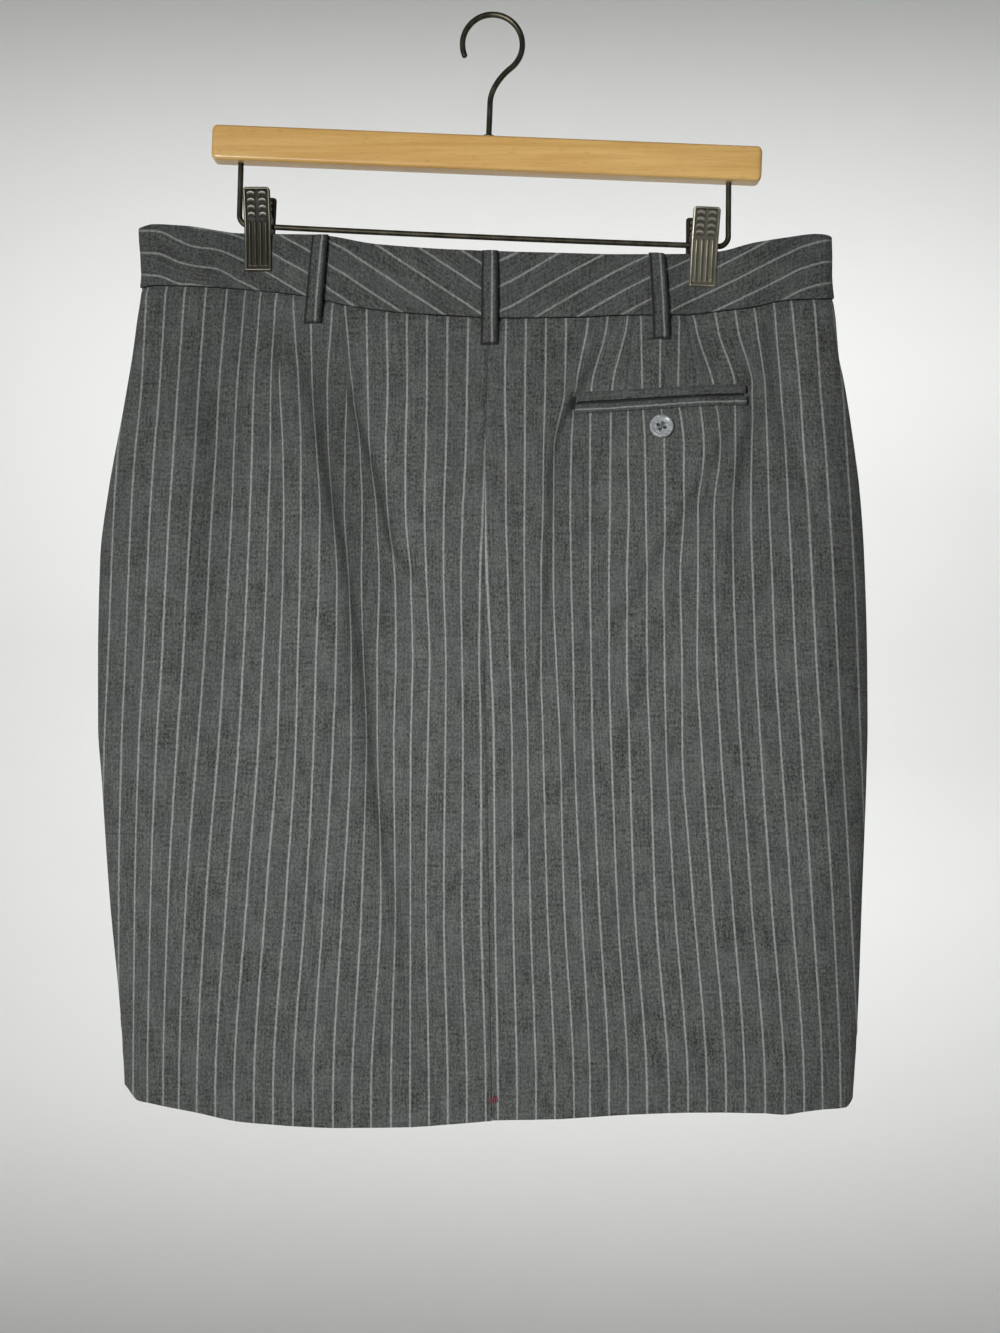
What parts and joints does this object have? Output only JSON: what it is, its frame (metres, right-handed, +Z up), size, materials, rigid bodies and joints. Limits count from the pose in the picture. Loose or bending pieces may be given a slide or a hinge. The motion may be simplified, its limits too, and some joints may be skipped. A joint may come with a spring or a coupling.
{
  "type": "pencil skirt on hanger",
  "caption": "Straight knee-length woollen skirt, back outward, held by the clips of a wooden bar hanger with a round wire hook.",
  "frame": {"origin": "inside top of the hanger's hook, where a rail carries it", "axes": "+Z up, -Y the way the skirt's back faces, +Y the way its front faces, +X towards the wearer's right"},
  "size_m": [0.4896, 0.0626, 0.7033],
  "materials": {
    "wool_stripe": "charcoal wool flannel with thin pale chalk stripes",
    "pocketing": "plain dark cotton pocketing",
    "button": "grey mother-of-pearl look, polished",
    "beech": "clear varnished beech",
    "bronzed_steel": "dull bronze plated steel",
    "worn_steel": "bronze plating worn towards grey"
  },
  "bodies": {
    "root": {"back_left": "wool_stripe", "back_right": "wool_stripe", "front_left": "wool_stripe", "front_right": "wool_stripe", "vent_underlap": "wool_stripe", "band_back_left": "wool_stripe", "band_back_right": "wool_stripe", "band_front_left": "wool_stripe", "band_front_right": "wool_stripe", "loop_back_centre": "wool_stripe", "loop_back_left": "wool_stripe", "loop_back_right": "wool_stripe", "loop_front_left": "wool_stripe", "loop_front_right": "wool_stripe", "welt_upper": "wool_stripe", "welt_lower": "wool_stripe", "pocket_bag": "pocketing", "pocket_button": "button", "band_button": "button", "hanger_bar": "beech", "hanger_hook": "bronzed_steel", "hanger_rod": "bronzed_steel", "clip_left_front": "bronzed_steel", "clip_left_back": "bronzed_steel", "clip_left_spring": "bronzed_steel", "clip_right_front": "worn_steel", "clip_right_back": "worn_steel", "clip_right_spring": "worn_steel"}
  },
  "joints": []
}
